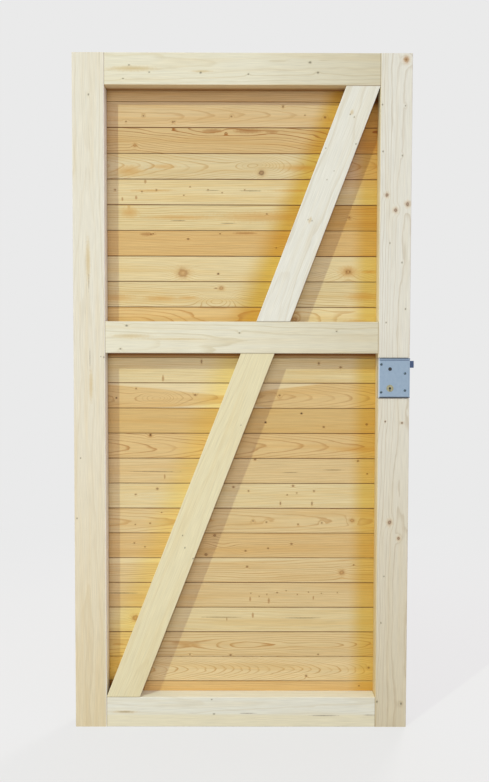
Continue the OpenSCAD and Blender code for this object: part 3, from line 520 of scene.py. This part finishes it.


# Frame timbers: pith and ring width in millimetres, marks in leaf millimetres as (x, z, radius), with an own
# stretch where it differs, an end tint as (start, full, colour) along the grain that is painted shade where
# the light falls off, and the side face's painted light and shade
timberLooks = {
    "hinge_stile": {
        "tone": "cream", "stain": "#fcf8f6", "pith": (0, 70, 8), "ring": 8.0, "taper": 0.010, "wander": 20,
        # painted shade towards the bottom, where the light falls off; painted light lightens the inner side
        "figure": 0.6, "endTint": [(280, -1450, "#f9eccd")], "edge": (-1, "MIX", "#fcfaf6", "#ebe2d6"),
        "specks": [(-488, 829, 1.8), (-500, 645, 1.8), (-458, 1916, 2.5), (-416, 1135, 2), (-425, 1137, 1.4)],
        "checks": [(-458, 1130, 0.7), (-460, 1360, 0.6)], "resin": [(-462, 1424, 5), (-455, 1050, 4)]},
    "lock_stile": {
        "tone": "grey", "pith": (0, 42, -34), "ring": 6.5, "taper": 0.010, "wander": 28, "ripple": 4,
        # painted shade towards the bottom, where the light falls off; painted warm light tints the inner side
        "endTint": [(280, -1450, "#eaddc0")], "edge": (1, "MULTIPLY", "#fff6de", "#fbe9bc"),
        "bores": [lockAxes["spindleWay"], lockAxes["keyWay"]],
        "paleKnots": [(488, 2021, 6)], "blackKnots": [(435, 942, 1.9), (486, 938, 2.1)],
        "knots": [(434, 1622, 4.5), (460, 1577, 5), (496, 1595, 5), (451, 634, 5.5), (479, 585, 4),
                  (488, 2021, 3)],
        "specks": [(418, 1889, 2), (487, 1886, 2), (421, 1751, 2), (479, 1739, 2.2), (444, 1479, 2),
                   (481, 1421, 2.2), (493, 1282, 2.2), (435, 1241, 2), (436, 468, 2), (428, 324, 2),
                   (418, 79, 3), (492, 73, 3.5)]},
    "top_rail": {
        "tone": "ivory", "pith": (0, 60, 25), "ring": 7.0, "taper": 0.012, "wander": 22,
        # painted shade towards the right, where the light falls off, and under the rail, darkest next to the
        # boards
        "endTint": [(0, 420, "#ece8e0")], "edge": (-1, "MULTIPLY", "#fdebd2", "#b08558"),
        "specks": [(-337, 2003, 2), (-355, 1963, 2), (-277, 1982, 2), (-124, 1981, 3), (18, 1977, 2.2),
                   (201, 2012, 3.5), (225, 1982, 3)], "resin": [(-330, 1992, 6), (-120, 1985, 2.5)]},
    "mid_rail": {
        "tone": "ivory", "pith": (0, 70, -26), "ring": 7.0, "taper": 0.014, "wander": 22,
        # painted shade towards the right, where the light falls off
        "endTint": [(0, 420, "#f3f0ea")],
        "specks": [(-347, 1230, 3.2), (-366, 1160, 2.5), (-7, 1209, 2.2), (286, 1214, 2)],
        "resin": [(-335, 1199, 5), (-190, 1190, 1.8, 40)]},
    "bottom_rail": {
        "tone": "cream", "pith": (0, 60, 34), "ring": 8.0, "taper": 0.010, "wander": 24, "figure": 0.6,
        "sap": [("#ebe2c4", (-1, -8, 0))], "specks": [(-83, 40, 2.4), (-90, 85, 2)], "resin": [(-356, 46, 3)],
        "checks": [(-356, 46, 0.9, 20), (20, 42, 0.9, 22), (255, 35, 0.9, 38), (395, 37, 0.8, 20)]},
    "upper_brace": {
        "tone": "white", "pith": (0, 80, 14), "ring": 8.0, "taper": 0.012, "wander": 24,
        "resin": [(327, 1866, 4, 1.5), (204, 1547, 3.5, 2)],
        "specks": [(322, 1860, 1.6), (334, 1852, 1.6), (275, 1693, 1.2), (254, 1667, 1.2), (198, 1548, 1.4),
                   (210, 1545, 1.4), (340, 1773, 1.8), (250, 1760, 1.6)]},
    "lower_brace": {
        "tone": "butter", "pith": (0, 70, -18), "ring": 8.0, "taper": 0.014, "wander": 28, "figure": 0.5,
        "specks": [(-179, 593, 2), (-172, 555, 2), (-147, 522, 2), (-2, 930, 1.4)]}}

# Boards from the bottom up: marks as (x, height above the board's lower edge, radius)
boardLooks = [
    {"tone": "honey", "pith": (0, 40, 120), "ring": 4.5, "wander": 12},
    {"tone": "orange", "pith": (0, 40, -120), "ring": 5.0, "wander": 14, "sap": [("#ead9ae", (1, 44, -0.03))],
     "knots": [(370, 62, 2.4)]},
    {"tone": "pale", "stain": "#fff8f2", "pith": (0, 22, -6), "ring": 3.4, "wander": 12, "taper": 0.11,
     "ripple": 4, "knots": [(204, 16, 3), (400, 42, 3)]},
    {"tone": "straw", "pith": (0, 32, -4), "ring": 4.6, "wander": 22, "taper": 0.015,
     "swells": [(30, 36, -8), (270, 36, -6)], "knots": [(-33, 4, 3.2), (241, 6, 2.4), (-160, 6, 2)]},
    {"tone": "pale", "pith": (0, 40, 130), "ring": 4.6, "wander": 12, "paleKnots": [(-330, 44, 7)],
     "checks": [(193, 44, 1.1, 40), (-60, 46, 0.8, 60)], "flames": [(36, 52, 7, 0.4), (-45, 40, 5, 0.3)]},
    {"tone": "straw", "pith": (0, 40, -130), "ring": 4.4, "wander": 10, "checks": [(-370, 44, 1.3, 30)],
     "knots": [(112, 46, 2.2), (80, 40, 1.6), (140, 52, 1.6), (56, 34, 1.6), (175, 40, 1.6), (30, 44, 1.6),
               (210, 48, 1.6), (250, 44, 1.6), (300, 46, 1.5)],
     "flames": [(28, 26, 6, 0.4), (86, 20, 7, 0.4), (225, 30, 5, 0.4)]},
    {"tone": "straw", "pith": (0, 40, 60), "ring": 5.6, "wander": 30, "knots": [(18, 50, 3), (350, 56, 2)],
     "paleKnots": [(313, 32, 6)], "sap": [("#e9d6a8", (1, 26, 0.02))]},
    {"tone": "honey", "pith": (0, 40, 120), "ring": 5.0, "wander": 12, "swells": [(-58, 28, -7, 2.2)],
     "knots": [(-333, 46, 2.4), (156, 44, 3.2), (83, 30, 2.6), (13, 22, 2.8), (-84, 70, 4), (-110, 10, 4.2),
               (-300, 34, 2)]},
    {"tone": "straw", "pith": (0, 34, -6), "ring": 4.8, "wander": 14, "taper": 0.03, "figure": 0.75,
     "paleKnots": [(344, 40, 5)],
     "knots": [(36, 38, 2.4), (78, 34, 2.2), (250, 32, 2.4), (176, 28, 2), (-248, 64, 2), (-330, 26, 1.8),
               (-284, 30, 1.8)]},
    {"tone": "pale", "pith": (0, 40, 130), "ring": 4.6, "wander": 10, "ripple": 2,
     "knots": [(121, 15, 5, 0.45), (219, 15, 5, 0.45), (160, 70, 3), (-261, 60, 3), (-25, 66, 3),
               (22, 54, 2.4), (225, 54, 2.4), (142, 42, 1.8), (172, 48, 1.8), (-328, 42, 2.4)]},
    {"tone": "straw", "pith": (0, 40, -130), "ring": 4.8, "wander": 12,
     "knots": [(361, 70, 3), (390, 30, 2), (42, 74, 3)],
     "checks": [(285, 42, 0.9, 30), (-270, 36, 1.0, 60), (150, 34, 0.7, 30)],
     "flames": [(-238, 20, 6, 0.4)]},
    {"tone": "honey", "pith": (0, 26, -8), "ring": 5.3, "wander": 18, "taper": 0.06, "figure": 0.8,
     "paleKnots": [(-282, 70, 4)], "blackKnots": [(-282, 72, 2.4)], "streaks": [(345, 28, 6)]},
    {"tone": "honey", "stain": "#faf7ea", "pith": (0, 40, 130), "ring": 4.2, "wander": 10, "ripple": 2,
     "figure": 0.7, "knots": [(254, 20, 3.2), (387, 28, 3.2)], "blackKnots": [(185, 62, 2.6), (74, 34, 2.6)]},
    {"tone": "honey", "pith": (0, 30, -12), "ring": 4.6, "wander": 16, "taper": 0.07, "figure": 0.55,
     "sap": [("#ecdcb4", (1, -10, -0.1), (1, 4, 0.125)), ("#ecdcb4", (-1, -24, 0.06), (-1, -26, -0.2))],
     "bores": [lockAxes["keyWay"]], "swells": [(-262, 30, -8, 2.4), (-257, 30, -6, 2.4)],
     "knots": [(-326, 60, 2.4), (-144, 41, 3.2), (117, 40, 3)], "blackKnots": [(-387, 31, 2.2)]},
    {"tone": "pale", "pith": (0, 40, 130), "ring": 4.8, "wander": 12, "bores": [lockAxes["spindleWay"]],
     "knots": [(-124, 66, 6, 0.4), (238, 61, 4, 0.8), (305, 49, 3.2)], "flames": [(-243, 14, 8, 0.4)]},
    {"tone": "honey", "pith": (0, 40, -110), "ring": 4.6, "wander": 14},
    {"tone": "pale", "pith": (0, 36, -12), "ring": 5.5, "wander": 26, "paleKnots": [(162, 41, 6)],
     "endTint": [(175, 60, "#f5e4cb")], "streaks": [(350, 30, 8, 4)], "swells": [(-90, 40, 9), (360, 40, 9)]},
    {"tone": "pale", "stain": "#f9f8f6", "pith": (0, 40, -60), "ring": 4.6, "wander": 16, "taper": 0.03,
     "swells": [(-78, 24, -9, 2.4), (-72, 24, -7, 2.4)], "paleKnots": [(-63, 58, 5)],
     "knots": [(-80, 57, 1.5, 3)],
     "streaks": [(-390, 28, 8, 5), (-250, 26, 6, 6), (-165, 28, 4, 6), (370, 34, 9, 4)]},
    {"tone": "pale", "pith": (0, 40, 120), "ring": 5.0, "wander": 12, "figure": 0.9,
     "paleKnots": [(-181, 26, 11), (326, 31, 7)], "knots": [(322, 31, 2), (331, 31, 2)],
     "blackKnots": [(-73, 24, 2.6)], "swells": [(326, 31, 13, 2.2)],
     "streaks": [(326, 31, 13, 1.7), (392, 31, 4, 5)]},
    {"tone": "orange", "pith": (0, 40, -120), "ring": 4.6, "wander": 14, "figure": 1.1,
     "knots": [(-279, 66, 2.4), (-272, 68, 2), (-165, 52, 3), (-67, 68, 2.2), (105, 26, 2)],
     "flames": [(10, 70, 3, 10), (-290, 66, 4, 5)]},
    {"tone": "pale", "stain": "#faf8f2", "pith": (0, 44, 70), "ring": 5.5, "wander": 18,
     "paleKnots": [(328, 40, 4)], "endTint": [(90, 240, "#f2d9b2")], "knots": [(76, 51, 2.4), (328, 41, 2.2)],
     "streaks": [(-343, 54, 12, 1.6), (-346, 70, 7, 0.6), (60, 42, 11, 9), (-190, 40, 5, 16)],
     "checks": [(-195, 30, 1.0, 18), (-45, 22, 0.9, 20)]},
    {"tone": "pale", "pith": (0, 40, 130), "ring": 4.8, "wander": 10, "ripple": 2,
     "knots": [(-388, 45, 2.4), (-306, 40, 2.2), (-262, 45, 2.4), (-159, 55, 1.8), (-104, 46, 1.8),
               (-178, 29, 1.8), (-61, 37, 1.8), (8, 46, 1.8)],
     "flames": [(-366, 17, 5, 0.5), (-324, 22, 5, 0.6), (-296, 70, 5, 0.6)],
     "checks": [(27, 43, 1.1, 24), (-90, 44, 0.7, 26)], "streaks": [(-280, 43, 3, 16), (170, 44, 3, 20)]},
    {"tone": "pale", "stain": "#f7f6f9", "pith": (0, 28, -4), "ring": 4.6, "wander": 18, "taper": 0.10,
     "figure": 0.85, "knots": [(59, 20, 8)], "swells": [(45, 42, -9, 2.4), (50, 42, -7, 2.4)],
     "streaks": [(-345, 26, 12, 2.4), (-240, 38, 5, 6), (175, 34, 7, 6)]},
    {"tone": "honey", "stain": "#f8f8fb", "pith": (0, 55, 44), "ring": 4.4, "wander": 40, "taper": -0.03,
     "figure": 1.25, "paleKnots": [(-327, 24, 4)], "knots": [(-50, 62, 2.2)],
     "flames": [(20, 68, 6, 6), (-90, 68, 5, 5), (90, 66, 3, 6)]},
    {"tone": "straw", "stain": "#fcf9fd", "pith": (0, 30, -8), "ring": 4.0, "wander": 20, "taper": 0.03,
     "figure": 0.6,
     "knots": [(-354, 18, 2.2), (-301, 35, 2.4), (-211, 17, 3), (-206, 18, 2), (-33, 34, 2.4),
               (124, 64, 4, 0.8), (191, 38, 2), (252, 32, 3.4)]},
    {"tone": "straw", "stain": "#fff8f0", "pith": (0, 40, -120), "ring": 4.8, "wander": 14},
    {"tone": "honey", "pith": (0, 40, 120), "ring": 4.6, "wander": 12}]
boardTaper = 0.012  # of the rings along a board, to and fro from board to board

# Joints show as thin dark lines: half width in millimetres, colour and strength. The joint at a board's foot
# has its own strength, from the second board up.
jointLines = {
    "shoulder": (1.7, "#9a8462", 0.6), "braceEnd": (1.7, "#7d6a50", 0.6), "board": (1.5, "#84562c"),
    "boardStrength": [0.5, 0.45, 0.45, 0.8, 0.8, 0.7, 0.55, 0.5, 0.85, 0.7, 0.7, 0.7, 0.6, 0.8, 0.4, 0.7,
                      0.75, 0.7, 0.85, 0.55, 0.85, 0.85, 0.65, 0.9, 0.35, 0.7]}
# How far apart the pieces lie in the noises, where they start, and how deep, in millimetres
seedSteps = {"timber": (731.0, 0.0, 40.0), "board": (517.0, 90.0, 0.0)}

shoulders = (leafBox("hinge_stile")[1].x, leafBox("lock_stile")[0].x)
seedStep, seedStart, seedDepth = seedSteps["timber"]
for number, (name, look) in enumerate(timberLooks.items()):
    low, high = leafBox(name)
    turn = 90 if name.endswith("stile") else 90 - braceLeans[name] if name in braceLeans else 0
    look["seed"] = (number * seedStep + seedStart, seedDepth, 0)
    look["lines"] = []
    if name.endswith("rail"):
        look["lines"] = [("X", shoulder, *jointLines["shoulder"]) for shoulder in shoulders]
    elif name in braceLeans:
        look["lines"] = [("Z", braceEnd, *jointLines["braceEnd"]) for braceEnd in (low.z, high.z)]
    dress(name, woodMaterial("planed_spruce_" + name, look, turn, (low + high) / 2))

firstFoot = leafBox("board_02")[0].z
boardStep = leafBox("board_03")[0].z - firstFoot
jointStrengths = jointLines["boardStrength"]
seedStep, seedStart, seedDepth = seedSteps["board"]
for number, look in enumerate(boardLooks):
    name = "board_%02d" % (number + 1)
    low, high = leafBox(name)
    boardFoot = low.z if number == 0 else firstFoot + (number - 1) * boardStep
    for kind in markKinds:
        look[kind] = [(x, boardFoot + rise, *size) for x, rise, *size in look.get(kind, [])]
    look["lines"] = [("Z", firstFoot + joint * boardStep, *jointLines["board"], jointStrengths[joint])
                     for joint in (number - 1, number) if 0 <= joint < len(jointStrengths)]
    # boards take the painted bounce light and painted shade
    look["sheltered"] = True
    look["seed"] = (number * seedStep + seedStart, seedDepth, 0)
    look.setdefault("taper", boardTaper * (-1) ** number)
    dress(name, woodMaterial("planed_pine_" + name, look, 0, (low + high) / 2))
print("wood dressed")

# Metals: a colour with clouds of another, how they reflect, the clouds' size in millimetres, and what is
# drawn on them. The lock's edges get painted shadow lines and a painted highlight, wider than life, so that
# they show.
lockLow, lockHigh = leafBox("lock_case")
lockLip = 5.7  # from the top of the case to the groove under its lip
zincPlate = {"colour": "#adc0d3", "spot": "#98aec6", "metallic": 0.75, "roughness": (0.32, 0.5),
             "mottle": 9.0}
metalLooks = {
    # plated pressed sheet: pale blue-grey, softly clouded, with a broad half-dull shine
    "zinc_plated_sheet": {
        **zincPlate, "pieces": ["lock_case", "lock_cover", "lock_pillars"],
        # painted shadow under the lip and along the case's top and bottom edges; a painted highlight on its
        # left edge
        "lines": [("Z", lockHigh.z - lockLip, 1.1, "#5f6c90", 0.8), ("Z", lockHigh.z, 2.4, "#5a6170", 0.8),
                  ("Z", lockLow.z, 3.0, "#2b2723", 0.85), ("X", lockLow.x, 3.0, "#e6eaf0", 0.8)]},
    # plated screw heads: darker and shinier than the sheet, so that they stand out on it
    "zinc_plated_screw": {"pieces": ["lock_screws"], "colour": "#67757f", "spot": "#48555e",
                          "metallic": 0.85, "roughness": (0.28, 0.42), "mottle": 2.0},
    # hot-dipped nail heads: plain grey and dull
    "galvanised_nail": {"pieces": ["cladding_nails"], "colour": "#8f9498", "spot": "#73797f",
                        "metallic": 0.8, "roughness": (0.4, 0.6), "mottle": 2.0},
    # ground and blued bolts: a deep blue with a soft shine
    "blued_steel": {"pieces": ["latch_bolt", "dead_bolt"], "colour": "#5d7296", "spot": "#43557c",
                    "metallic": 0.7, "roughness": (0.3, 0.5), "mottle": 5.0},
    # the follower is plated like the sheet, round a hole painted near black as shade
    "zinc_plated_follower": {**zincPlate, "pieces": ["follower"], "bores": [lockAxes["spindleHole"]]},
    # drawn wire and strip under oil: dark grey with a wet shine
    "oiled_spring_steel": {"pieces": ["latch_spring", "bolt_spring"], "colour": "#6c6e72", "spot": "#55575c",
                           "metallic": 0.9, "roughness": (0.3, 0.45), "mottle": 2.0},
    # turned bush: pale yellow, gone olive in patches, the shiniest piece
    "turned_brass": {"pieces": ["key_bush"], "colour": "#cfc9ad", "spot": "#8d8a5e",
                     "metallic": 0.85, "roughness": (0.25, 0.45), "mottle": 4.0}}
mottleRange = (0.3, 0.7)  # of the clouds' noise, over which the roughness changes
for name, look in metalLooks.items():
    material, tree, shader = newMaterial(name)
    place = put(tree, "TexCoord")
    mottle = put(tree, "TexNoise", {"Vector": place.outputs["Object"], "Scale": 1 / (look["mottle"] * mm),
                                    "Detail": 3.0})
    colour = put(tree, "Mix", {"Factor": mottle.outputs["Fac"], 6: hexColor(look["colour"]),
                               7: hexColor(look["spot"])}, data_type="RGBA").outputs[2]
    point = put(tree, "VectorMath", {0: place.outputs["Object"], "Scale": 1 / mm},
                operation="SCALE").outputs[0]
    colour = drawLines(tree, point, colour, look.get("lines", []))
    colour = paintBoreShade(tree, point, colour, look.get("bores", []))
    tree.links.new(colour, shader.inputs["Base Color"])
    smooth, rough = look["roughness"]
    gloss = put(tree, "MapRange", {"Value": mottle.outputs["Fac"], "From Min": mottleRange[0],
                                   "From Max": mottleRange[1], "To Min": smooth, "To Max": rough})
    tree.links.new(gloss.outputs[0], shader.inputs["Roughness"])
    shader.inputs["Metallic"].default_value = look["metallic"]
    for piece in look["pieces"]:
        dress(piece, material)

# The latch spring is the same coil, copied with its doubled points merged and hung on the leaf
latchCoil = {"body": "leaf", "node": "latch_spring", "slot": "spring_steel", "joint": "latch_slide",
             "material": "oiled_spring_steel", "merge": 1e-6}
coilMesh = nodes[latchCoil["node"]].data.copy()
coilShape = bmesh.new()
coilShape.from_mesh(coilMesh)
bmesh.ops.remove_doubles(coilShape, verts=coilShape.verts, dist=latchCoil["merge"])
coilShape.to_mesh(coilMesh)
coilShape.free()
coilMesh.materials.clear()
coilMesh.materials.append(bpy.data.materials[latchCoil["material"]])
coil = bpy.data.objects.new("latch_coil", coilMesh)
bpy.context.scene.collection.objects.link(coil)
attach(coil, latchCoil["body"])
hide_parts(latchCoil["node"])
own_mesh(coil)
print("metal dressed")

# Studio: a pale floor that fades into an equally pale background. What the camera sees of them, straight or
# in a mirror, is apart from the light that they give.
studio = {"background": "#eaeaea", "ambient": 0.77, "ambientColour": "#fff6ff"}
floorLook = {"halfSide": 9.0, "colour": "#e2e2e2", "roughness": 0.9, "bounceColour": "#a0a0a0",
             "lit": 0.2, "fade": (0.8, 3.0)}  # share that takes shadows, and where it fades, in metres


def seenRays(tree):
    rays = put(tree, "LightPath").outputs
    mirrored = put(tree, "Math", {0: rays["Is Glossy Ray"], 1: rays["Is Transmission Ray"]},
                   operation="MAXIMUM")
    return put(tree, "Math", {0: rays["Is Camera Ray"], 1: mirrored.outputs[0]},
               operation="MAXIMUM").outputs[0]


world = bpy.data.worlds.new("studio")
bpy.context.scene.world = world
world.use_nodes = True
worldTree = world.node_tree
worldTree.nodes.clear()
shown = put(worldTree, "Background", {"Color": hexColor(studio["background"]), "Strength": 1.0})
ambient = put(worldTree, "Background", {"Color": hexColor(studio["ambientColour"]),
                                        "Strength": studio["ambient"]})
choice = put(worldTree, "MixShader", {0: seenRays(worldTree), 1: ambient.outputs[0], 2: shown.outputs[0]})
put(worldTree, "OutputWorld", {"Surface": choice.outputs[0]})

floorShape = bmesh.new()
bmesh.ops.create_grid(floorShape, x_segments=1, y_segments=1, size=floorLook["halfSide"])
floorMesh = bpy.data.meshes.new("floor")
floorShape.to_mesh(floorMesh)
floorShape.free()
floor = bpy.data.objects.new("floor", floorMesh)
bpy.context.scene.collection.objects.link(floor)
floorMaterial, floorTree, floorShader = newMaterial("pale_floor")
floorOutput = floorShader.outputs[0].links[0].to_node
floorShader.inputs["Base Color"].default_value = hexColor(floorLook["colour"])
floorShader.inputs["Roughness"].default_value = floorLook["roughness"]
floorPlace = put(floorTree, "TexCoord")
fromDoor = put(floorTree, "VectorMath", {0: floorPlace.outputs["Object"]}, operation="LENGTH")
fadeStart, fadeEnd = floorLook["fade"]
litShare = put(floorTree, "MapRange", {"Value": fromDoor.outputs["Value"], "From Min": fadeStart,
                                       "From Max": fadeEnd, "To Min": floorLook["lit"], "To Max": 0.0},
               interpolation_type="SMOOTHSTEP")
glow = put(floorTree, "Emission", {"Color": hexColor(studio["background"]), "Strength": 1.0})
floorSeen = put(floorTree, "MixShader", {0: litShare.outputs[0], 1: glow.outputs[0],
                                         2: floorShader.outputs[0]})
floorBounce = put(floorTree, "BsdfDiffuse", {"Color": hexColor(floorLook["bounceColour"])})
floorChoice = put(floorTree, "MixShader", {0: seenRays(floorTree), 1: floorBounce.outputs[0],
                                           2: floorSeen.outputs[0]})
floorTree.links.new(floorChoice.outputs[0], floorOutput.inputs["Surface"])
floorMesh.materials.append(floorMaterial)

# Lamps: a key high on the left in front, a weak fill low in front, and one behind for the board side
lamps = {
    "key": {"place": (-5.5, -6.5, 8.15), "aim": (0, 0, 1.0), "power": 548, "size": 0.25, "colour": "#eeffe4"},
    "fill": {"place": (-1.0, -2.4, 0.3), "aim": (-0.2, 0, 0.3), "power": 14, "size": 1.4,
             "colour": "#fffcf7"},
    "rear": {"place": (2.6, 4.6, 4.6), "aim": (0, 0, 1.0), "power": 160, "size": 1.6, "colour": "#fffcf7"}}
for name, lamp in lamps.items():
    lampData = bpy.data.lights.new(name, "AREA")
    lampData.shape = "DISK"
    lampData.size = lamp["size"]
    lampData.energy = lamp["power"]
    lampData.color = hexColor(lamp["colour"])[:3]
    light = bpy.data.objects.new(name, lampData)
    bpy.context.scene.collection.objects.link(light)
    light.location = lamp["place"]
    light.rotation_euler = (Vector(lamp["aim"]) - Vector(lamp["place"])).to_track_quat("-Z", "Y").to_euler()
print("studio lit")
